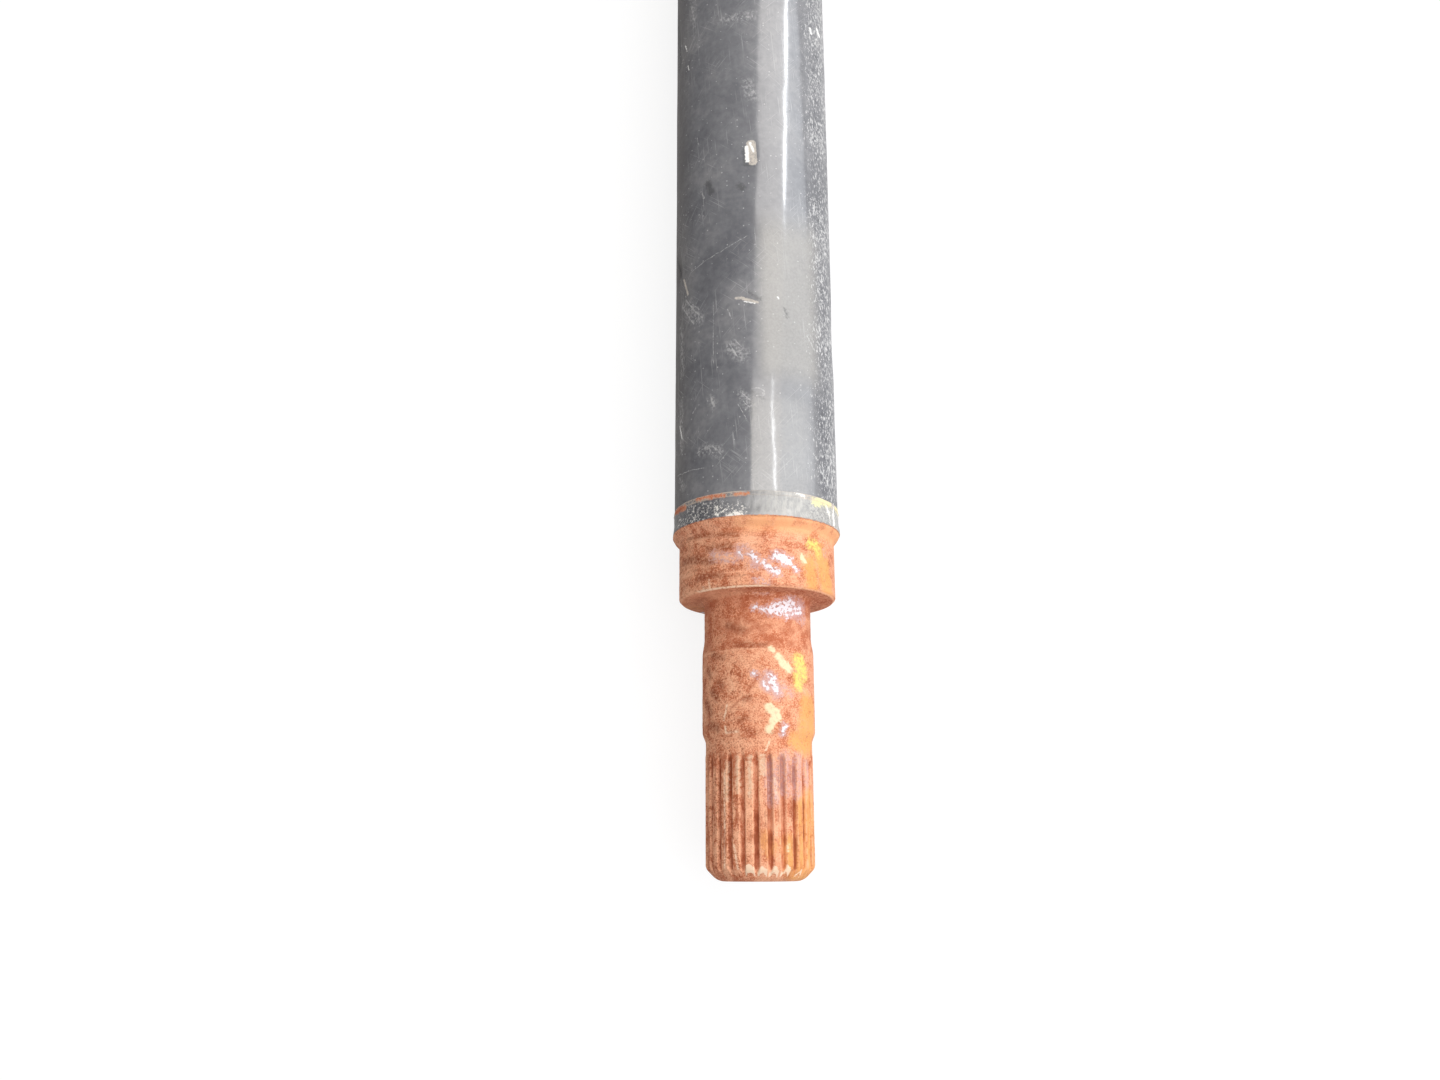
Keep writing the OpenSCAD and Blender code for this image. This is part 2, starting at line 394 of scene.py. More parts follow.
def mesh_piece(name, points, faces, maps, fields):
    """Piece of points, groups of faces with UV maps, and named values at its first points."""
    mesh = bpy.data.meshes.new(name)
    mesh.from_pydata((points * MM).tolist(), [], [face for group in faces for face in group.tolist()])
    layer = mesh.uv_layers.new(name="OFBake")
    layer.uv.foreach_set("vector", np.concatenate([m.reshape(-1) for m in maps]).astype(np.float32))
    for field, values in fields.items():
        store = mesh.attributes.new(field, "FLOAT", "POINT")
        flat = np.zeros(len(points), np.float32)
        flat[: values.size] = values.reshape(-1)
        store.data.foreach_set("value", flat)
    mesh.shade_smooth()
    mesh.set_sharp_from_angle(angle=math.radians(50))
    mesh.validate()
    piece = bpy.data.objects.new(name, mesh)
    bpy.context.scene.collection.objects.link(piece)
    return piece


def turned(name, radius, axial, angles, loop, outward, fields={}):
    """Piece of rows by angles. loop closes the rows on themselves; otherwise both ends close on the axis."""
    axial = np.broadcast_to(axial, radius.shape)
    points = surface_points(radius, axial, angles)
    quads, uv = grid_faces(radius, axial, loop)
    faces, maps = [quads], [uv]
    if not loop:
        count = len(points)
        points = np.vstack([points, [[0, axial[0].mean(), 0], [0, axial[-1].mean(), 0]]])
        first, first_map = end_fan(np.arange(len(angles)), count, 0.0)
        last, last_map = end_fan(np.arange(count - len(angles), count), count + 1, 1.0)
        faces += [first, last[:, ::-1]]
        maps += [first_map, last_map[:, ::-1]]
    if outward < 0:
        faces = [group[:, ::-1] for group in faces]
        maps = [group[:, ::-1] for group in maps]
    return mesh_piece(name, points, faces, maps, fields)


def dent(angles, t, column, line, across, along):
    """Share from 0 to 1 of a dent at a pixel, with its half sizes."""
    arc_at, t_at = spot(column, line, TUBE_R)
    half_turn = math.pi * TUBE_R
    apart = (angles * TUBE_R - arc_at + half_turn) % (2 * half_turn) - half_turn
    return bell(apart, across) * bell(t - t_at, along)


# Rows along the tube and columns around it
TUBE_ROWS = 360
TUBE_COLUMNS = 256
# Unevenness of the tube: sizes and heights of its bumps, and their seeds
TUBE_BUMPS = ((9, 0.05, 1), (45, 0.12, 2))


def make_tube():
    """Tube, slightly uneven and dented."""
    outer = steps((TUBE_R, -HALF_TUBE + BEVEL), (TUBE_R, HALF_TUBE - BEVEL), TUBE_ROWS)
    wall = [(TUBE_R, HALF_TUBE - BEVEL), (BEVEL_ROOT_R, HALF_TUBE), (BORE_R, HALF_TUBE), (BORE_R, 0),
            (BORE_R, -HALF_TUBE), (BEVEL_ROOT_R, -HALF_TUBE)]
    outline = np.array(outer + wall)
    angles = np.linspace(-math.pi, math.pi, TUBE_COLUMNS, endpoint=False)
    radius = np.repeat(outline[:, :1], len(angles), 1)
    axial = outline[:, 1:]
    shown = radius[: len(outer)]
    for size, height, seed in TUBE_BUMPS:
        shown = rough(shown, axial[: len(outer)], angles, size, height, seed)
    t = -axial[: len(outer)] - HALF_TUBE
    for column, line, across, along, depth in TUBE_DENTS:
        shown = shown - depth * dent(angles[None, :], t, column, line, across, along)
    radius[: len(outer)] = shown
    return turned("shaft_tube", radius, axial, angles, True, -1)


WELD_COLUMNS = 400
# Ripples around the weld, and their height
RIPPLES = 62
RIPPLE_HEIGHT = 0.04


def weld_outline():
    """Radius and t of the weld's outline: the part shown, and the part inside."""
    lip_r, lip_t = LIP_R - LIP_ROUND, -LIP_ROUND / 2
    lip_foot = (lip_r + LIP_ROUND / 2, lip_t + LIP_ROUND * math.sin(math.radians(60)))
    crown_t = TOE_T + TOE_LAP
    rise_t = lip_t - 4 * LIP_ROUND
    toe_r, foot_r = TUBE_R - TOE_SINK, COLLAR_R - COLLAR_SINK
    shown = (ease_line((toe_r, TOE_T), (CROWN_R, crown_t), 18)
             + steps((CROWN_R, crown_t), (CROWN_R, rise_t), 8)
             + ease_line((CROWN_R, rise_t), (LIP_R, lip_t), 10)
             + arc((lip_r, lip_t), LIP_ROUND, 0, 60, 6)
             + ease_line(lip_foot, (foot_r, COLLAR_LAP), 14))
    return shown, [(foot_r, COLLAR_LAP), (foot_r, 0), (BEVEL_ROOT_R, 0), (toe_r, -BEVEL)]


def make_weld(name, side, seed):
    """Weld bead with a wavering lip, a ridge on its toe, ripples and roughness."""
    shown, inside = weld_outline()
    outline = np.array(shown + inside)
    angles = np.linspace(-math.pi, math.pi, WELD_COLUMNS, endpoint=False)
    radius = np.repeat(outline[:, :1], len(angles), 1)
    t = np.repeat(outline[:, 1:], len(angles), 1)
    outer = slice(1, len(shown))

    near_lip = bell(t[outer] + 0.5, 3.0)
    sway = ring_noise(angles, 2, seed)
    t[outer] += near_lip * (0.5 * sway - 0.5 * np.sin(angles))
    radius[outer] -= near_lip * 0.2 * np.abs(sway)

    toe = ring_noise(angles, 5, seed + 5)
    rise = np.clip((t[outer] - TOE_T) / 0.35, 0, 1)
    fall = np.clip((RIDGE_TO + 0.15 * toe - t[outer]) / 0.3 + 0.5, 0, 1)
    radius[outer] += (RIDGE_HEIGHT + 0.1 * toe) * rise * fall
    ripple = np.cos(angles * RIPPLES + 2.2 * t[outer] / 4 + 3 * sway)
    radius[outer] += RIPPLE_HEIGHT * ripple * bell(t[outer] + 5, 4)
    axial = side * (HALF_TUBE + t)
    radius[outer] = rough(radius[outer], axial[outer], angles, 3.0, 0.07, seed + 1)
    return turned(name, radius, axial, angles, True, -side)


# Stands for no surface, or for no mark in reach
NOWHERE = 99.0


def groove_radius(t, offsets, radius):
    """Radius of a groove's surface at each t and angle from the groove's middle, or NOWHERE."""
    floor = SPLINE_R - GROOVE_DEPTH
    straight = SPLINE_T + math.sqrt(2 * RUNOUT_R * GROOVE_DEPTH - GROOVE_DEPTH ** 2)
    lift = np.maximum(straight - t, 0)
    found = np.broadcast_to(radius, np.broadcast_shapes(t.shape, offsets.shape)).copy()
    for _ in range(4):
        aside = np.abs(found * np.sin(offsets))
        rim = RUNOUT_R - np.maximum(aside - GROOVE_ROOT / 2, 0) / FLANK
        reach = rim ** 2 - lift ** 2
        height = floor + RUNOUT_R - np.sqrt(np.maximum(reach, 0))
        found = np.where((reach > 0) & (rim > 0), np.hypot(aside, height), NOWHERE)
    return found


# Length of the small flats that keep the collar's edges crisp
CRISP = 0.12
# Length of the fine rows where the grooves run out
RUNOUT_LENGTH = 5.1


def shoulder_outline():
    """Radius and t of the collar, the shoulder and the neck."""
    edge_r, edge_t = COLLAR_R - COLLAR_CHAMFER, SHOULDER_T - COLLAR_CHAMFER
    slope = CRISP * math.sqrt(0.5)
    fillet_r, fillet_t = NECK_R + NECK_FILLET, SHOULDER_T + NECK_FILLET
    turn = np.radians(np.linspace(0, 90, 5, endpoint=False))
    return (steps((COLLAR_R, 0.4), (COLLAR_R, edge_t - CRISP), 40)
            + [(COLLAR_R, edge_t - CRISP), (COLLAR_R - slope, edge_t + slope)]
            + [((COLLAR_R + edge_r) / 2, (edge_t + SHOULDER_T) / 2), (edge_r + slope, SHOULDER_T - slope)]
            + steps((edge_r - CRISP, SHOULDER_T), (fillet_r, SHOULDER_T), 9)
            + [(fillet_r - NECK_FILLET * math.sin(a), fillet_t - NECK_FILLET * math.cos(a)) for a in turn]
            + steps((NECK_R, fillet_t), (NECK_R, NECK_END_T), 20))


def stub_outline():
    """Radius and t along a stub, from the spigot to the centre hole."""
    bend = math.tan(math.radians(22.5))
    tip = (SPLINE_R - END_ROUND, END_T - END_CHAMFER - END_ROUND * bend)
    face = (SPLINE_R - END_CHAMFER - FACE_ROUND * bend, END_T - FACE_ROUND)
    cone_t = END_T - (CENTRE_MOUTH_R - CENTRE_R) / math.tan(math.radians(30))
    runout_t = SPLINE_T + RUNOUT_LENGTH
    spigot = [(1.0, -SPIGOT), (SPIGOT_R - SPIGOT_CHAMFER, -SPIGOT), (SPIGOT_R, -SPIGOT + SPIGOT_CHAMFER),
              (SPIGOT_R, -0.05), (COLLAR_R, -0.05)]
    hole = [(CENTRE_R, cone_t), (CENTRE_R, cone_t - CENTRE_DEPTH), (0.4, cone_t - CENTRE_DEPTH - 1.2)]
    return np.array(
        spigot
        + shoulder_outline()
        + ease_line((NECK_R, NECK_END_T), (PILOT_R, PILOT_T), 10)
        + steps((PILOT_R, PILOT_T), (PILOT_R, PILOT_END_T), 44)
        + ease_line((PILOT_R, PILOT_END_T), (RELIEF_R, RELIEF_T), 10)
        + steps((RELIEF_R, RELIEF_T), (RELIEF_R, SPLINE_T), 7)
        + steps((SPLINE_R, SPLINE_T + 0.3), (SPLINE_R, runout_t), 16)
        + steps((SPLINE_R, runout_t), (SPLINE_R, tip[1]), 30)
        + arc(tip, END_ROUND, 0, 45, 8)
        + arc(face, FACE_ROUND, 45, 90, 12)
        + steps((face[0], END_T), (CENTRE_MOUTH_R, END_T), 6)
        + steps((CENTRE_MOUTH_R, END_T), (CENTRE_R, cone_t), 4)
        + hole)


# Degrees from the middle of a groove at which its section has points, on both sides
GROOVE_ANGLES = (0, 1.15, 1.65, 2.55, 3.45, 3.85, 4.7, 5.9)
# Rounding of the teeth's edges
EDGE_ROUND = 0.14
# Points at the start and the end of a stub's outline that stay smooth
SMOOTH_START = 5
SMOOTH_END = 12
# Roughness of the rust: sizes and heights of its bumps
RUST_BUMPS = ((2.2, 0.06), (0.9, 0.035))


def cut_grooves(radius, outline, offsets):
    """Cuts the grooves into a stub's radius. Returns the shares of groove depth and of tooth edge."""
    t = outline[:, 1:]
    toothed = (t[:, 0] > SPLINE_T - 1) & (outline[:, 0] > CENTRE_MOUTH_R + 2)
    groove = groove_radius(t[toothed], offsets, SPLINE_R)
    whole = radius[toothed]
    mixed = np.clip(0.5 + 0.5 * (groove - whole) / EDGE_ROUND, 0, 1)
    cut = groove * (1 - mixed) + whole * mixed - EDGE_ROUND * mixed * (1 - mixed)
    radius[toothed] = cut
    deep, edge = np.zeros_like(radius), np.zeros_like(radius)
    deep[toothed] = np.clip((whole - cut) / GROOVE_DEPTH, 0, 1)
    edge[toothed] = bell(groove - whole, 0.3) * (whole > SPLINE_R - 2.5)
    return {"groove": deep, "edge": edge}


def make_stub(name, side, tooth, seed):
    """Stub shaft with its grooves and its roughness."""
    outline = stub_outline()
    pitch = 360 / TEETH
    around = np.array([-a for a in GROOVE_ANGLES[:0:-1]] + list(GROOVE_ANGLES) + [pitch / 2])
    middles = tooth + (np.arange(TEETH) - TEETH // 2 - 0.5) * pitch
    angles = np.radians((middles[:, None] + around).reshape(-1))
    offsets = np.radians(np.tile(around, TEETH))[None, :]
    radius = np.repeat(outline[:, :1], len(angles), 1)
    fields = cut_grooves(radius, outline, offsets)
    axial = side * (HALF_TUBE + outline[:, 1:])
    skin = slice(SMOOTH_START, len(outline) - SMOOTH_END)
    for i, (size, height) in enumerate(RUST_BUMPS):
        radius[skin] = rough(radius[skin], axial[skin], angles, size, height, seed + i)
    return turned(name, radius, axial, angles, False, -side, fields)


# Materials


def srgb(*parts):
    """Linear colour of an 8-bit screen colour that isn't near black."""
    return (*(((part / 255 + 0.055) / 1.055) ** 2.4 for part in parts), 1.0)


class Finish:
    """A material's node tree, with one short call per kind of node."""

    def __init__(self, name):
        self.material = bpy.data.materials.new(name)
        self.material.use_nodes = True
        self.nodes = self.material.node_tree.nodes
        self.links = self.material.node_tree.links
        self.nodes.clear()

    def on_shaft(self):
        """The same, with the values of a place on the shaft."""
        place = self.node("ShaderNodeTexCoord").outputs["Object"]
        self.place = self.vector("SCALE", place, Scale=1 / MM)
        x, self.y, z = self.node("ShaderNodeSeparateXYZ", Vector=self.place).outputs
        self.angle = self.math("ARCTAN2", x, z)
        self.radius = self.math("SQRT", self.blend(z, z, self.times(x, x)))
        self.t = self.less(self.math("ABSOLUTE", self.y), HALF_TUBE)
        self.arc = self.times(self.angle, self.radius)
        near_t = self.less(self.times(self.y, -1), HALF_TUBE)
        self.flat = self.node("ShaderNodeCombineXYZ", X=self.arc, Y=near_t).outputs[0]
        return self

    def set(self, node, name, value):
        socket = node.inputs[name]
        if isinstance(value, bpy.types.NodeSocket):
            self.links.new(value, socket)
        else:
            socket.default_value = value

    def node(self, kind, settings={}, *values, **inputs):
        """New node with its settings, and its inputs by place or by name."""
        node = self.nodes.new(kind)
        for name, value in settings.items():
            setattr(node, name, value)
        for name, value in [*enumerate(values), *inputs.items()]:
            self.set(node, name, value)
        return node

    def math(self, operation, *values):
        return self.node("ShaderNodeMath", {"operation": operation}, *values).outputs[0]

    def times(self, value, number):
        return self.math("MULTIPLY", value, number)

    def less(self, value, number):
        return self.math("SUBTRACT", value, number)

    def blend(self, value, share, rest):
        """value times a share, plus the rest."""
        return self.math("MULTIPLY_ADD", value, share, rest)

    def most(self, mask, other):
        return self.math("MAXIMUM", mask, other)

    def both(self, *masks):
        return reduce(self.times, masks)

    def either(self, *masks):
        return reduce(self.most, masks)

    def vector(self, operation, *values, **inputs):
        node = self.node("ShaderNodeVectorMath", {"operation": operation}, *values, **inputs)
        return node.outputs["Value" if operation in ("DISTANCE", "DOT_PRODUCT") else "Vector"]

    def fade(self, value, start, end, low=0.0, high=1.0, smooth=True):
        """value moved from start..end to low..high, held at both ends."""
        kind = {"interpolation_type": "SMOOTHSTEP" if smooth else "LINEAR"}
        return self.node("ShaderNodeMapRange", kind, value, start, end, low, high).outputs[0]

    def band(self, value, start, full, fall, end):
        """Mask that rises from start to full and falls from fall to end."""
        return self.both(self.fade(value, start, full), self.fade(value, end, fall))

    def about(self, value, middle, none, full):
        """Mask by the distance from a middle value: 0 at none, 1 at full."""
        return self.fade(self.math("ABSOLUTE", self.less(value, middle)), none, full)

    def grain(self, size, detail=2.0, roughness=0.5, vector=None, colour=False):
        """Noise with features of about that size in millimetres."""
        node = self.node("ShaderNodeTexNoise", Vector=vector or self.place, Scale=1 / size, Detail=detail,
                         Roughness=roughness)
        return node.outputs["Color" if colour else "Fac"]

    def drawn(self, across, along, seed):
        """The flat place drawn out: noise in it is 1/across long around the shaft and 1/along long on it."""
        x, y = self.times(self.arc, across), self.times(self.y, along)
        return self.node("ShaderNodeCombineXYZ", X=x, Y=y, Z=seed).outputs[0]

    def dots(self, where, size, share, reach):
        """Mask of dots in a share of the cells of that size, each up to a reach in radius."""
        cells = self.node("ShaderNodeTexVoronoi", {"voronoi_dimensions": "2D"}, Vector=where, Scale=1 / size)
        chance = self.node("ShaderNodeSeparateColor", Color=cells.outputs["Color"]).outputs[0]
        radius = self.fade(chance, 1 - share, 1, -0.1, reach / size, smooth=False)
        return self.fade(self.less(cells.outputs["Distance"], radius), 0.05, -0.05)

    def ragged(self, noise, amount):
        """Noise moved to lie about zero, and up to about half that amount."""
        return self.times(self.less(noise, 0.5), amount)

    def wander(self, size):
        """Ragged noise in three directions, about zero."""
        return self.vector("SUBTRACT", self.grain(size, 2, colour=True), (0.5, 0.5, 0.5))

    def moved(self, wander, amount):
        """The flat place moved by some noise, up to about half that amount."""
        return self.vector("MULTIPLY_ADD", wander, (amount, amount, 0), self.flat)

    def gap(self, where, marks):
        """Distance from the edge of the nearest of some marks, less than zero inside it."""
        nearest = NOWHERE
        for radius, strokes in marks.items():
            for column, line, column_to, line_to, half in strokes:
                start = Vector((*spot(column, line, radius), 0))
                run = Vector((*spot(column_to, line_to, radius), 0)) - start
                apart = self.vector("SUBTRACT", where, start)
                share = self.vector("DOT_PRODUCT", apart, run / run.length_squared)
                share = self.node("ShaderNodeClamp", Value=share).outputs[0]
                reach = self.vector("SCALE", run, Scale=share)
                away = self.less(self.vector("DISTANCE", apart, reach), half)
                nearest = self.math("MINIMUM", away, nearest)
        return nearest

    def mark(self, where, marks, rag, share, none, full):
        """Mask of some marks with ragged edges: 0 at none from their edges, 1 at full."""
        return self.fade(self.blend(rag, share, self.gap(where, marks)), none, full)

    def tint(self, share, under, over):
        node = self.node("ShaderNodeMix", {"data_type": "RGBA"})
        for i, value in ((0, share), (6, under), (7, over)):
            self.set(node, i, value)
        return node.outputs[2]

    def lay(self, colour, *masks):
        """Lays a colour over the one so far, where all the masks are."""
        self.colour = self.tint(self.both(*masks), self.colour, colour)

    def ramp(self, value, stops):
        node = self.node("ShaderNodeValToRGB", Fac=value)
        points = node.color_ramp.elements
        while len(points) < len(stops):
            points.new(0.5)
        for point, (place, colour) in zip(points, stops):
            point.position, point.color = place, colour
        return node.outputs["Color"]

    def field(self, name):
        return self.node("ShaderNodeAttribute", {"attribute_name": name}).outputs["Fac"]

    def bump(self, height, strength, distance):
        return self.node("ShaderNodeBump", Height=height, Strength=strength, Distance=distance).outputs[0]

    def finish(self, **inputs):
        shader = self.node("ShaderNodeBsdfPrincipled")
        self.set(shader, "Base Color", self.colour)
        for name, value in inputs.items():
            self.set(shader, name.replace("_", " "), value)
        return self.shown(shader)

    def shown(self, shader):
        """The material, with that shader on its surface."""
        self.node("ShaderNodeOutputMaterial", Surface=shader.outputs[0])
        return self.material


# Rust

WHITE = srgb(230, 222, 226)
LILAC = srgb(202, 164, 160)
MAUVE = srgb(156, 106, 98)
CREAM = srgb(230, 216, 178)
YELLOW = srgb(229, 210, 116)
ORANGE = srgb(230, 162, 96)
PALE = srgb(240, 180, 144)
TAN = srgb(218, 148, 113)
RUST = srgb(206, 125, 89)
BROWN = srgb(170, 89, 57)
DARK = srgb(124, 58, 32)
# Yellow rust under the lip, partly painted light
LIP_RUST_AND_LIGHT = srgb(236, 168, 116)
WHITE_RUST = srgb(242, 208, 178)
ASH = srgb(222, 188, 158)


def rust_noises(f):
    """Noises of three sizes in the rust, and the share by which a place lies on the left."""
    return SimpleNamespace(left=f.fade(f.angle, 0.6, -0.8), crust=f.grain(6, 4, 0.68),
                           pit=f.grain(1.2, 3, 0.72), fine=f.grain(0.6, 2, 0.6))


def add_edges(f, n):
    """Adds the places and noises that give the marks their ragged edges."""
    wander = f.wander(2.0)
    n.wide, n.where, n.close = (f.moved(wander, amount) for amount in (4.0, 2.0, 0.7))
    n.lace = f.grain(1.0, 3, 0.65)
    n.rag, n.torn = f.ragged(n.pit, 4.0), f.ragged(n.lace, 5.0)


def rust_colour(f, n):
    """Mottled rust on bare steel: soft clouds, dark pits and pale veins, with more pits on the left."""
    tone = f.blend(n.pit, 0.34, f.times(n.crust, 0.66))
    tone = f.blend(n.left, 0.015, tone)
    f.colour = f.ramp(tone, [(0.39, BROWN), (0.46, RUST), (0.53, TAN), (0.62, PALE)])
    level = f.blend(n.crust, -0.30, f.blend(n.left, 0.05, n.pit))
    f.lay(DARK, f.fade(level, 0.40, 0.56), f.fade(n.left, 0, 1, 0.35, 0.75))
    speck = f.blend(n.pit, 0.45, f.times(n.fine, 0.55))
    speck = f.blend(n.crust, -0.30, speck)
    f.lay(BROWN, f.fade(speck, 0.35, 0.50), f.fade(n.left, 0, 1, 0.35, 0.6))
    vein = f.both(f.about(n.crust, 0.49, 0.026, 0.006), f.fade(n.fine, 0.56, 0.46, 0, 0.75))
    light = f.both(f.fade(speck, 0.33, 0.24), f.fade(n.left, 0, 1, 0.55, 0.7))
    f.lay(PALE, f.either(vein, f.fade(n.pit, 0.43, 0.36, 0, 0.6), light))
    rust_scales(f, speck)

    # A paler, more yellow rust under the weld's lip, but for its left part: partly the rust's own colour,
    # partly painted light
    f.lay(LIP_RUST_AND_LIGHT, f.fade(f.t, 7.5, 2.5), f.fade(f.angle, -0.6, 0.1), f.fade(tone, 0.44, 0.54, 0.4, 0.8))


def rust_scales(f, speck):
    """Small scales with broken pale borders, under a fine grain."""
    bent = f.vector("MULTIPLY_ADD", f.wander(2.0), (1.8, 1.8, 1.8), f.place)
    scales = f.node("ShaderNodeTexVoronoi", {"feature": "DISTANCE_TO_EDGE"}, Vector=bent, Scale=1 / 2.4)
    f.lay(PALE, f.fade(scales.outputs["Distance"], 0.09, 0.03), f.fade(speck, 0.38, 0.30, 0.0, 0.6))
    dust = f.grain(0.42, 1)
    f.lay(BROWN, f.fade(dust, 0.50, 0.66, 0, 0.42))
    f.lay(PALE, f.fade(dust, 0.50, 0.34, 0, 0.42))


def collar_colour(f, n):
    """Streaks around the collar, and painted shade on the shoulder and the neck, eased with paler tan on the
    left of the shoulder.
    """
    streak = f.grain(2.2, 3, 0.62, vector=f.drawn(0.16, 1.0, 3.0))
    on_collar = f.band(f.t, 3.0, 6.0, SHOULDER_T - 1, SHOULDER_T)
    f.lay(DARK, f.fade(streak, 0.50, 0.66), on_collar, f.fade(n.left, 0.25, 1, 0.05, 0.28))
    f.lay(PALE, f.fade(streak, 0.46, 0.34), on_collar, f.fade(n.left, 0, 1, 0.35, 0.7))
    # Painted shade on the shoulder's face, with lighter tan painted on its left
    shoulder = f.band(f.t, SHOULDER_T - 0.3, SHOULDER_T - 0.1, SHOULDER_T + 1, SHOULDER_T + 4)
    f.lay(BROWN, shoulder, f.fade(n.pit, 0.40, 0.60, 0.2, 0.75), f.fade(n.left, 0.4, 1, 1, 0.3))
    f.lay(TAN, shoulder, f.fade(n.left, 0.5, 1, 0, 0.45))
    # Painted shade on the neck
    on_neck = f.band(f.t, SHOULDER_T, SHOULDER_T + 2, PILOT_T - 2, PILOT_T + 1)
    f.lay(BROWN, on_neck, f.fade(f.grain(4, 2), 0.42, 0.62, 0.2, 0.6))


def rust_stains(f, n):
    off_neck = f.either(f.fade(f.t, SHOULDER_T, SHOULDER_T - 0.4), f.fade(f.t, NECK_END_T, PILOT_T))
    bloom = f.mark(n.wide, ORANGE_BLOOM, n.rag, 1.0, 2.6, -1.6)
    f.lay(ORANGE, bloom, off_neck, f.fade(n.pit, 0.68, 0.52, 0.3, 0.85))
    f.lay(DARK, f.mark(n.where, DARK_STAIN, n.rag, 1.0, 1.4, -1.0), f.fade(n.pit, 0.38, 0.58, 0.3, 0.7))
    f.lay(LILAC, f.mark(n.where, LILAC_STAIN, n.rag, 1.0, 1.6, -1.0), f.fade(n.lace, 0.40, 0.60, 0.05, 0.8))


def white_scale(f, n):
    """White scale with lilac borders and mauve holes."""
    white = f.blend(n.torn, 1.3, f.gap(n.where, WHITE_SCALE))
    f.lay(LILAC, f.fade(white, 1.8, 0.2), 0.75)
    f.lay(MAUVE, f.fade(white, 1.0, 0.2), f.fade(n.lace, 0.52, 0.62, 0, 0.8))
    f.lay(WHITE, f.fade(white, 0.3, -0.3))


def daubs_and_scratches(f, n):
    """Daubs of cream and yellow paint, thin dark scratches, and thin pale lines that are partly scratches and
    partly painted highlights.
    """
    f.lay(CREAM, f.mark(n.where, CREAM_PAINT, n.torn, 0.35, 0.6, -0.6), f.fade(n.lace, 0.66, 0.48, 0.6, 0.95))
    yellow = f.mark(n.where, YELLOW_PAINT, n.torn, 0.8, 1.8, -1.4)
    f.lay(YELLOW, yellow, f.fade(n.lace, 0.62, 0.44, 0.4, 0.92))
    f.lay(BROWN, f.mark(n.close, THIN_DARK, n.torn, 0.4, 0.7, -0.5), f.fade(n.lace, 0.40, 0.60, 0.4, 0.9))
    # Thin pale lines: partly scratches, partly painted highlights on edges
    f.lay(WHITE_RUST, f.fade(f.gap(n.close, THIN_PALE_AND_HIGHLIGHT), 0.4, -0.25), f.fade(n.pit, 0.60, 0.44, 0.15, 0.9))


def edge_highlights(f, n, plain):
    """Pale lines painted as highlights where the pilot starts and, broken, along the collar's edge, and no
    mark on its end face.
    """
    start = f.about(f.blend(n.rag, 0.15, f.t), PILOT_T, 0.5, 0.1)
    f.lay(PALE, start, f.fade(f.angle, 0.3, 0.1), f.fade(n.lace, 0.60, 0.45, 0.1, 0.6))
    f.colour = f.tint(f.about(f.t, SHOULDER_T, 0.2, 0.5), plain, f.colour)
    # Painted highlight along the collar's edge, whiter on the near end's front
    line = f.both(f.about(f.blend(n.rag, 0.1, f.radius), COLLAR_R - 0.75, 0.42, 0.2),
                  f.band(f.t, SHOULDER_T - 1.1, SHOULDER_T - 0.9, SHOULDER_T + 0.3, SHOULDER_T + 0.5))
    f.lay(PALE, line, f.fade(n.lace, 0.62, 0.46, 0.1, 0.6))
    shown = f.both(f.band(f.angle, -0.9, -0.8, 0.0, 0.15), f.fade(f.y, 1, -1))
    f.lay(WHITE_RUST, line, shown, f.fade(n.lace, 0.62, 0.50, 0.2, 0.9))


def unseen_scale(f, n):
    """Scattered scale on the far end and the underside, which the picture doesn't show."""
    unseen = f.either(f.fade(f.y, -1, 1), f.fade(f.math("ABSOLUTE", f.angle), 1.7, 2.0))
    patch = f.blend(n.pit, 0.22, f.grain(11, 2))
    f.lay(LILAC, unseen, f.fade(patch, 0.73, 0.79, 0, 0.75))
    f.lay(WHITE, unseen, f.fade(patch, 0.775, 0.81), f.fade(n.pit, 0.58, 0.48, 0.2, 1))
    f.lay(ORANGE, unseen, f.fade(patch, 0.49, 0.42, 0, 0.7))


def tooth_colour(f, n, groove):
    """Teeth that differ, with roots darkened between them: partly darker rust, partly painted shade."""
    on_spline = f.fade(f.t, SPLINE_T - 1, SPLINE_T + 1)
    tooth = f.grain(3.2, 3, 0.6, vector=f.drawn(1.0, 0.3, 8.0))
    f.lay(BROWN, on_spline, f.fade(tooth, 0.51, 0.61, 0, 0.7), f.fade(n.left, 0.2, 0.8, 0.45, 1))
    f.lay(PALE, on_spline, f.fade(tooth, 0.47, 0.37, 0, 0.45))
    # Darker with groove depth: partly darker rust in the roots, partly painted shade
    f.lay(BROWN, f.fade(groove, 0.35, 0.9), f.fade(tooth, 0.36, 0.56, 0.3, 0.8))
    f.lay(DARK, f.fade(groove, 0.25, 0.7), f.fade(tooth, 0.49, 0.61, 0, 0.45))


def tooth_stains(f, n):
    """Lilac and mauve stains on some teeth, and pale ash on others."""
    f.lay(LILAC, f.mark(n.where, TOOTH_LILAC, n.rag, 1.0, 1.6, -1.0), f.fade(n.lace, 0.40, 0.60, 0.25, 0.75))
    f.lay(ASH, f.mark(n.close, TOOTH_ASH, n.rag, 1.0, 0.8, -0.8), f.fade(n.lace, 0.60, 0.44, 0.35, 0.9))
    f.lay(MAUVE, f.mark(n.where, TOOTH_MAUVE, n.rag, 1.0, 1.2, -0.8), f.fade(n.lace, 0.42, 0.58, 0.2, 0.75))


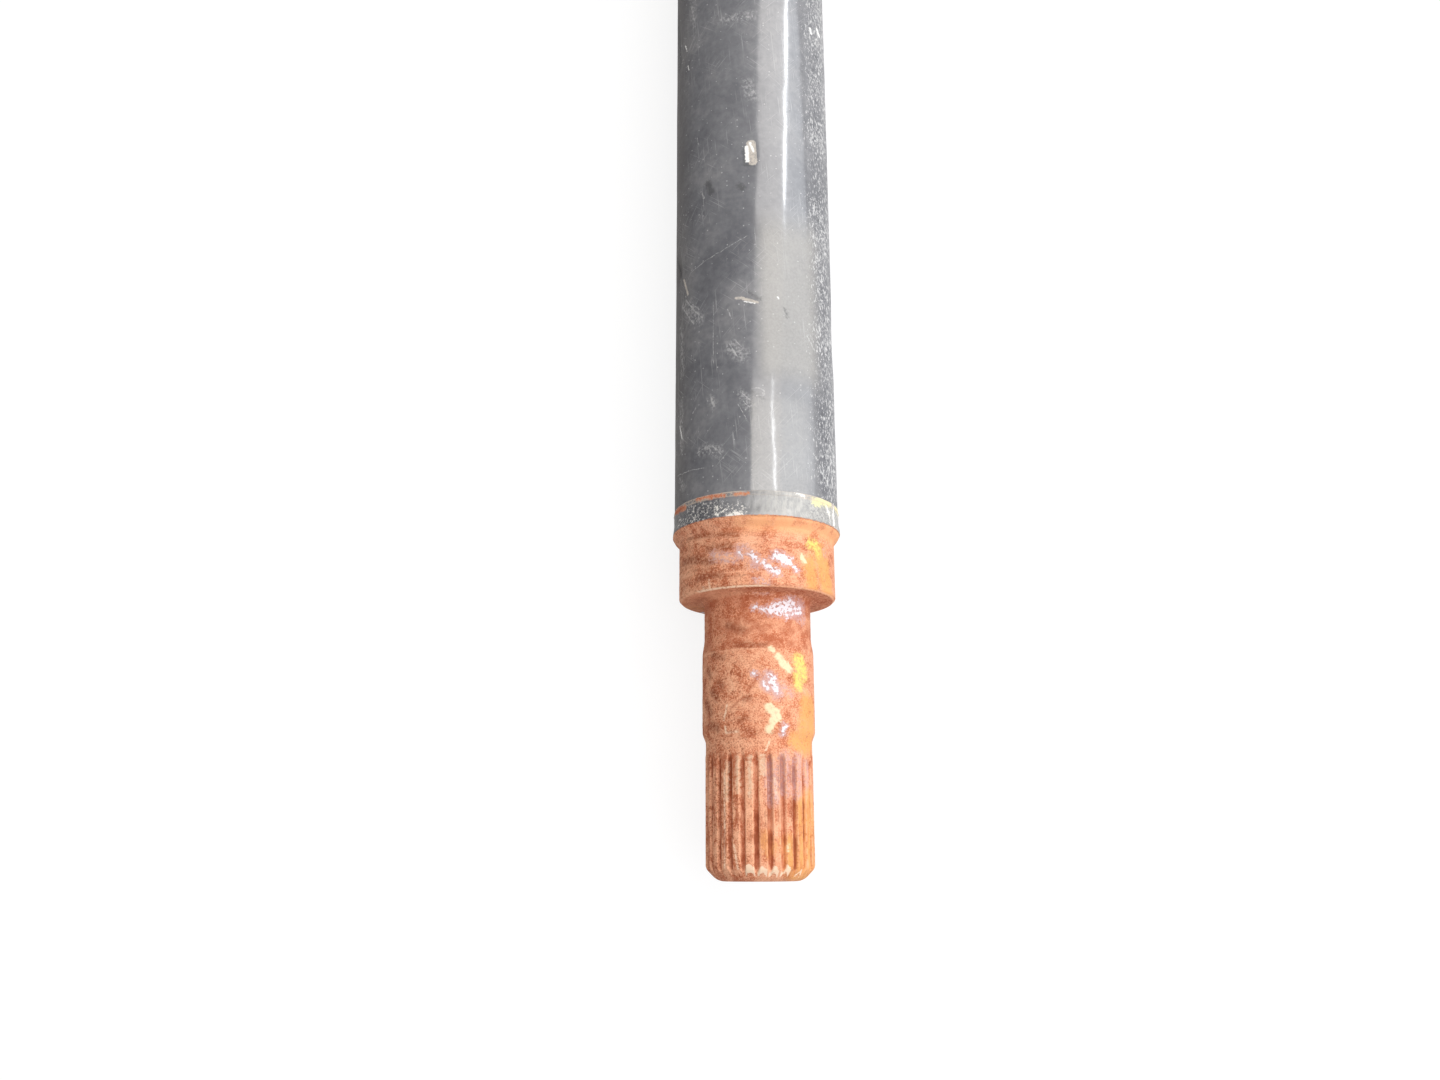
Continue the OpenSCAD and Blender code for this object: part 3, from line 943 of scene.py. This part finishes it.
def tooth_chips(f, n, groove):
    """White chips on the ends of some teeth, down both sides."""
    chips = 0.0
    for column, line, half in TOOTH_CHIPS:
        arc_at, t_at = spot(column, line, SPLINE_R)
        aside = f.times(f.math("ABSOLUTE", f.less(f.angle, arc_at / SPLINE_R)), SPLINE_R)
        along = f.blend(aside, -0.8, f.less(f.t, t_at - 0.6))
        along = f.blend(f.less(n.pit, 0.5), 3.0, along)
        reach = half * 0.6
        long = f.fade(f.math("ABSOLUTE", along), reach + 0.25, reach - 0.25)
        chips = f.most(f.both(long, f.fade(aside, 2.0, 1.7)), chips)
    f.lay(WHITE_RUST, chips, f.fade(f.y, 1, -1), f.fade(groove, 0.45, 0.2))


def make_rust():
    """Rusty steel of the stubs, with the near end's marks at their own places."""
    f = Finish("rusty_steel").on_shaft()
    n = rust_noises(f)
    add_edges(f, n)
    groove = f.field("groove")
    rust_colour(f, n)
    collar_colour(f, n)
    plain = f.colour
    rust_stains(f, n)
    white_scale(f, n)
    daubs_and_scratches(f, n)
    edge_highlights(f, n, plain)
    unseen_scale(f, n)
    tooth_colour(f, n, groove)
    tooth_stains(f, n)
    # Pale along the teeth's edges: partly rubbed edges, partly a painted highlight
    f.lay(PALE, f.field("edge"), f.fade(n.pit, 0.58, 0.46, 0.0, 0.7))
    tooth_chips(f, n, groove)
    height = f.blend(n.pit, -0.5, f.grain(0.6, 1))
    return f.finish(Roughness=f.fade(n.pit, 0.35, 0.65, 0.75, 0.95), Specular_IOR_Level=0.25,
                    Normal=f.bump(height, 0.4, 0.0004))


# Paint

PAINT_DARK = srgb(84, 84, 89)
PAINT = srgb(101, 101, 105)
PAINT_PALE = srgb(120, 119, 121)
# Darker brownish tone for the low left side: partly grime, partly painted shade
GRIME_AND_SHADE = srgb(74, 66, 60)
SOOT = srgb(46, 45, 47)
# Pale tone on the tube's right half: partly dust, partly painted reflection of the sky
DUST_AND_SHEEN = srgb(160, 156, 150)
SCUFF = srgb(206, 204, 202)
BARE = srgb(198, 188, 176)
BRIGHT = srgb(240, 238, 234)

# Directions of the hairline scratches, in radians from the shaft's, and how strong they are
HAIRLINES = ((0.10, 0.3), (0.9, 0.25), (-0.75, 0.25))
HAIRLINE_STRETCH = 0.025


def paint_flecks(f, patchy):
    """Dark holes down both sides. Returns the mask of pale flecks, thick on the right."""
    fleck = f.grain(0.6, 4, 0.76, vector=f.vector("MULTIPLY", f.place, (1.0, 0.34, 0.3)))
    right = f.band(f.angle, 0.36, 0.95, 1.3, 2.0)
    left = f.band(f.angle, -2.0, -1.4, -1.15, -0.75)
    level = f.blend(right, -0.205, 0.74)
    level = f.blend(left, -0.08, level)
    level = f.blend(patchy, -0.04, level)
    level = f.math("ADD", level, f.fade(f.y, -60, 60, 0, 0.04))
    f.lay(SOOT, f.fade(fleck, 0.43, 0.34), f.either(right, f.times(left, 0.6)), 0.7)
    return f.fade(f.less(fleck, level), 0.0, 0.09)


def hairlines(f, patchy):
    """Masks of fine scratches, one for each direction."""
    masks = []
    for turn, share in HAIRLINES:
        sine, cosine = math.sin(turn), math.cos(turn)
        along = f.vector("DOT_PRODUCT", f.flat, (sine * HAIRLINE_STRETCH, cosine * HAIRLINE_STRETCH, 0))
        over = f.vector("DOT_PRODUCT", f.flat, (cosine, -sine, 0))
        line = f.node("ShaderNodeCombineXYZ", X=over, Y=along, Z=turn * 9).outputs[0]
        masks.append(f.both(f.fade(f.grain(0.35, 0, 0.5, vector=line), 0.72, 0.80, 0, share), patchy))
    return masks


def paint_colour(f):
    """Worn black paint. Returns the mask of its flecks, specks and hairlines."""
    tone = f.blend(f.grain(2.6, 3, 0.6), 0.36, f.times(f.grain(24, 3, 0.55), 0.64))
    f.colour = f.ramp(tone, [(0.38, PAINT_DARK), (0.50, PAINT), (0.62, PAINT_PALE)])
    # Darker towards the low left side: partly grime, partly painted shade on the side away from the lamps
    f.lay(GRIME_AND_SHADE, f.fade(f.angle, -0.75, -1.35, 0, 0.6))
    patchy = f.fade(f.grain(22, 2), 0.42, 0.58)
    specks = f.times(f.dots(f.flat, 2.2, 0.3, 0.3), 0.6)
    return f.either(paint_flecks(f, patchy), specks, *hairlines(f, patchy))


def tube_marks(f, loose, scuff):
    """Soot and painted shade, scuffs, scratches, chips, and a painted highlight on a chip. Returns the mask
    of worn paint.
    """
    rag = f.ragged(loose, 3.0)
    where = f.moved(f.wander(2.2), 1.0)
    # Soot, and painted shade by the chip, in the dents and along the left edge
    f.lay(SOOT, f.mark(where, TUBE_SOOT_AND_SHADE, rag, 1.0, 0.9, -0.9), 0.65)
    f.lay(SCUFF, scuff, 0.85)
    streaky = f.grain(0.6, 3, 0.65, vector=f.drawn(0.6, 0.5, 5.0))
    scrub = f.both(f.mark(where, TUBE_SCUFF, rag, 1.0, 1.8, -1.8), f.fade(streaky, 0.40, 0.68))
    f.lay(SCUFF, scrub, 0.42)
    scratch = f.both(f.fade(f.gap(where, TUBE_SCRATCH), 0.12, -0.08), f.fade(loose, 0.40, 0.60, 0.08, 0.5))
    f.lay(SCUFF, scratch)
    chip = f.mark(f.flat, TUBE_CHIP, rag, 0.5, 0.2, -0.2)
    f.lay(BARE, chip, f.fade(loose, 0.3, 0.6, 0.45, 0.9))
    # White specks, and a painted highlight on the chip's edge
    white = f.mark(f.flat, TUBE_WHITE_AND_GLINT, rag, 0.5, 0.15, -0.2)
    f.lay(BRIGHT, white, 0.9)
    return f.either(scuff, scratch, chip, white, f.times(scrub, 0.5))


def make_paint():
    """Black paint of the tube: glossy on top, dull at the sides and where it is rubbed."""
    f = Finish("black_paint").on_shaft()
    scuff = paint_colour(f)
    loose = f.grain(0.9, 3, 0.62)
    start, end = (spot(MIDDLE, row, TUBE_R)[1] for row in (RUBBED_FROM, RUBBED_TO))
    rubbed = f.band(f.t, start - 10, start + 8, end - 12, end + 4)
    # Paler right half where the gloss is rubbed, and below it, with a sharp edge where the sky's reflection
    # starts: partly dust, partly painted reflection
    f.lay(DUST_AND_SHEEN, rubbed, f.band(f.angle, -0.06, 0.16, 0.7, 1.0), f.fade(loose, 0.3, 0.7, 0.55, 0.75))
    below = f.fade(f.t, end - 4, end + 8)
    f.lay(DUST_AND_SHEEN, below, f.band(f.angle, -0.10, -0.06, 0.5, 0.9), f.fade(loose, 0.3, 0.7, 0.3, 0.5))
    worn = tube_marks(f, loose, scuff)
    top = f.band(f.angle, -0.75, -0.35, 0.62, 0.95)
    film = f.fade(f.grain(12, 3, 0.6), 0.42, 0.62, 0.95, 0.75)
    gloss = f.both(top, f.blend(worn, -0.9, 1.0), film, f.fade(rubbed, 0, 1, 1.0, 0.4))
    return f.finish(Roughness=f.fade(f.angle, -0.5, -1.0, 0.42, 0.7), Specular_IOR_Level=0.7,
                    Coat_Weight=gloss, Coat_Roughness=0.13, Coat_IOR=2.0,
                    Normal=f.bump(f.less(f.grain(1.2, 1), scuff), 0.12, 0.0002))


# Paint on the weld

WELD_DUST = srgb(204, 200, 192)
# Beige on the toe's ridge, and its pale edges, which are painted highlights
WELD_BEIGE_AND_HIGHLIGHT = srgb(206, 186, 166)
CHALK = srgb(236, 230, 222)
PALE_YELLOW = srgb(242, 232, 160)


def weld_dust(f, scuff):
    """Dust that grows towards the right, in streaks, and scuffs. Returns the dust's mask."""
    streaky = f.grain(1.1, 3, 0.65, vector=f.drawn(1.0, 0.35, 5.0))
    dust = f.both(f.fade(f.angle, -0.45, 0.5, 0.0, 0.75), f.fade(f.angle, 2.2, 1.7),
                  f.fade(streaky, 0.36, 0.62, 0.6, 1.0))
    f.lay(WELD_DUST, dust)
    f.lay(SCUFF, scuff, 0.7)
    return dust


def weld_specks(f, rag, where):
    """Dark flakes, and chalk and yellow at their own places. Returns the chalk's mask."""
    speck = f.grain(0.9, 3, 0.8)
    f.lay(PAINT_DARK, f.fade(speck, 0.52, 0.42), f.band(f.angle, 0.40, 0.75, 1.5, 2.0), 0.5)
    f.lay(SOOT, f.fade(f.angle, -0.3, -0.45), f.fade(speck, 0.52, 0.40, 0, 0.6))
    speckle = f.both(f.fade(speck, 0.54, 0.62), f.mark(where, WELD_SPECKLE, rag, 2.0, 1.6, -1.0))
    chalk = f.either(speckle, f.mark(where, WELD_CHALK, rag, 1.4, 0.5, -0.3))
    f.lay(CHALK, chalk)
    f.lay(PALE_YELLOW, f.mark(where, WELD_YELLOW, rag, 1.5, 1.2, -0.8), 0.85)
    return chalk


def toe_ridge(f, loose, rag):
    """The ridge on the toe, with two pale edges that are painted highlights, and beige between them."""
    uneven_t = f.blend(rag, 0.15, f.t)
    lower = f.times(f.about(uneven_t, RIDGE_TO, 0.4, 0.1), 0.7)
    edges = f.either(f.about(uneven_t, RIDGE_FROM, 0.5, 0.15), lower)
    ends = f.either(f.fade(f.angle, -0.1, -0.25), f.fade(f.angle, 0.45, 0.65, 0.0, 0.8))
    rim = f.both(edges, f.fade(ends, 0, 1, 0.25, 0.85), f.fade(loose, 0.36, 0.5, 0.4, 1.0))
    within = f.both(f.fade(f.t, RIDGE_TO + 0.4, RIDGE_TO - 0.1), f.fade(ends, 0, 1, 0.1, 0.6),
                    f.fade(loose, 0.40, 0.60))
    f.lay(WELD_BEIGE_AND_HIGHLIGHT, f.either(rim, within))


def weld_rust(f, loose, rag, where):
    """Bare rust under the lip, darkest along its edge, and on the toe. Returns its mask."""
    paint = f.colour
    toe = f.mark(where, WELD_RUST, rag, 1.0, 0.6, -0.5)
    bare = f.either(f.fade(f.blend(f.less(loose, 0.5), 0.7, f.t), -0.5, -0.2), toe)
    rust_colour(f, rust_noises(f))
    f.lay(BROWN, toe, 0.55)
    f.lay(DARK, f.band(f.t, -1.2, -0.6, -0.3, 0.3), f.fade(loose, 0.35, 0.55, 0.9, 0.3))
    f.colour = f.tint(bare, paint, f.colour)
    return bare


def make_weld_paint():
    """Black paint of the welds, dusty and flaked, with bare rust at both edges."""
    f = Finish("weld_paint").on_shaft()
    scuff = paint_colour(f)
    loose = f.grain(0.8, 3, 0.62)
    rag = f.ragged(loose, 3.0)
    where = f.moved(f.wander(2.0), 1.2)
    dust = weld_dust(f, scuff)
    chalk = weld_specks(f, rag, where)
    toe_ridge(f, loose, rag)
    bare = weld_rust(f, loose, rag, where)
    whole = f.math("SUBTRACT", 1.0, f.either(bare, chalk, f.times(dust, 0.7), scuff))
    gloss = f.both(whole, f.fade(f.angle, 0.95, 0.62), f.fade(f.angle, -0.75, -0.35, 0.0, 0.6))
    return f.finish(Roughness=f.fade(bare, 0, 1, 0.5, 0.85), Specular_IOR_Level=0.5, Coat_Weight=gloss,
                    Coat_Roughness=0.26, Coat_IOR=2.0, Normal=f.bump(f.grain(1.0, 1), 0.3, 0.0003))


def dress(piece, node, material):
    """Gives a piece its material and its place on the part."""
    piece.data.materials.append(material)
    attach(piece, "root")
    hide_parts(node)


paint, weld_paint, rust = make_paint(), make_weld_paint(), make_rust()
dress(make_tube(), "tube", paint)
dress(make_weld("near_weld", -1, 11), "near_weld_bead", weld_paint)
dress(make_weld("far_weld", 1, 21), "far_weld_bead", weld_paint)
dress(make_stub("near_stub", -1, NEAR_TOOTH, 31), "near_stub_shaft", rust)
dress(make_stub("far_stub", 1, FAR_TOOTH, 41), "far_stub_shaft", rust)


# Floor, light and camera, in metres

FLOOR_HALF = 12.0
FLOOR_GAP = 0.0002
# The floor's own grey, and its grey and glow where the camera or a reflection sees it
FLOOR_GREY = 0.5
SEEN_GREY = 0.21
SEEN_GLOW = 0.82
WORLD_LEVEL = 0.46

# The sky is two panels side by side, along a line whose ends have an angle in degrees from straight up, a
# place along Y and a distance from the shaft's axis
SKY_NEAR = (-22, -0.45, 1.3)
SKY_FAR = (40, 1.9, 1.3)
SKY_DROP = 39
# Name, width, radiance and colour of each panel
SKY_PANELS = (("sky_left", 0.7, 2.0, (1.0, 0.97, 0.94)), ("sky_right", 1.4, 1.6, (0.94, 0.98, 1.03)))
STRIP_REACH = 1.2
STRIP_RADIANCE = 14.0
STRIP_COLOUR = (0.95, 0.98, 1.0)


def floor_material():
    """Grey floor that the camera and reflections see as white."""
    f = Finish("floor")
    path = f.node("ShaderNodeLightPath").outputs
    seen = f.either(path["Is Camera Ray"], path["Is Glossy Ray"], path["Is Transmission Ray"])
    grey = f.node("ShaderNodeBsdfDiffuse", Color=f.blend(seen, SEEN_GREY - FLOOR_GREY, FLOOR_GREY))
    glow = f.node("ShaderNodeEmission", Strength=f.times(seen, SEEN_GLOW))
    return f.shown(f.node("ShaderNodeAddShader", {}, grey.outputs[0], glow.outputs[0]))


def make_floor():
    mesh = bpy.data.meshes.new("floor")
    side, z = FLOOR_HALF, -LIP_R * MM - FLOOR_GAP
    corners = [(-side, -side, z), (side, -side, z), (side, side, z), (-side, side, z)]
    mesh.from_pydata(corners, [], [(0, 1, 2, 3)])
    mesh.materials.append(floor_material())
    floor = bpy.data.objects.new("floor", mesh)
    bpy.context.scene.collection.objects.link(floor)


def panel(name, start, end, skip, width, drop, radiance, colour):
    """Rectangular lamp along the line from start to end, a skip away from it on the +X side, square to the
    shaft there but for its drop in degrees."""
    start, end = Vector(start), Vector(end)
    along, middle = (end - start).normalized(), (start + end) / 2
    reach = (middle - along * middle.dot(along)).normalized()
    side, drop = along.cross(reach), math.radians(drop)
    if side.x < 0:
        along, side = -along, -side
    across = side * math.cos(drop) - reach * math.sin(drop)
    light = bpy.data.lights.new(name, "AREA")
    light.shape = "RECTANGLE"
    light.size, light.size_y = width, (end - start).length
    light.energy = radiance * math.pi * light.size * light.size_y
    light.color = colour
    lamp = bpy.data.objects.new(name, light)
    turn = Matrix((across, along, across.cross(along))).transposed()
    lamp.matrix_world = Matrix.Translation(middle + across * (skip + width / 2)) @ turn.to_4x4()
    lamp.visible_camera = False
    bpy.context.scene.collection.objects.link(lamp)


def overhead(angle, y, distance):
    """Place at an angle in degrees from straight up towards +X, seen along the shaft."""
    return distance * math.sin(math.radians(angle)), y, distance * math.cos(math.radians(angle))


def make_world():
    """Even white light from all sides."""
    world = bpy.data.worlds.new("studio")
    bpy.context.scene.world = world
    world.use_nodes = True
    back = world.node_tree.nodes["Background"]
    back.inputs["Color"].default_value = (1, 1, 1, 1)
    back.inputs["Strength"].default_value = WORLD_LEVEL


def make_lamps():
    """The sky's two panels, and a strip lamp for each streak in the tube's gloss."""
    near, far = overhead(*SKY_NEAR), overhead(*SKY_FAR)
    skip = 0.0
    for name, width, radiance, colour in SKY_PANELS:
        panel(name, near, far, skip, width, SKY_DROP, radiance, colour)
        skip += width
    for i, (column, line, column_to, line_to, width) in enumerate(STRIPS):
        start, end = glint(column, line, STRIP_REACH), glint(column_to, line_to, STRIP_REACH)
        panel(f"strip_{i}", start, end, -width / 2, width, 0, STRIP_RADIANCE, STRIP_COLOUR)


def make_camera():
    camera = bpy.data.cameras.new("camera")
    camera.sensor_fit, camera.sensor_width = "HORIZONTAL", 36.0
    camera.lens = FOCAL / PICTURE_W * camera.sensor_width
    camera.clip_start = 0.01
    view = bpy.data.objects.new("camera", camera)
    to_blender = Matrix(((1, 0, 0), (0, -1, 0), (0, 0, -1)))
    view.matrix_world = Matrix.Translation(EYE * MM) @ (TO_SHAFT @ to_blender).to_4x4()
    bpy.context.scene.collection.objects.link(view)
    bpy.context.scene.camera = view


make_floor()
make_world()
make_lamps()
make_camera()
bpy.context.scene.view_settings.view_transform = "Standard"
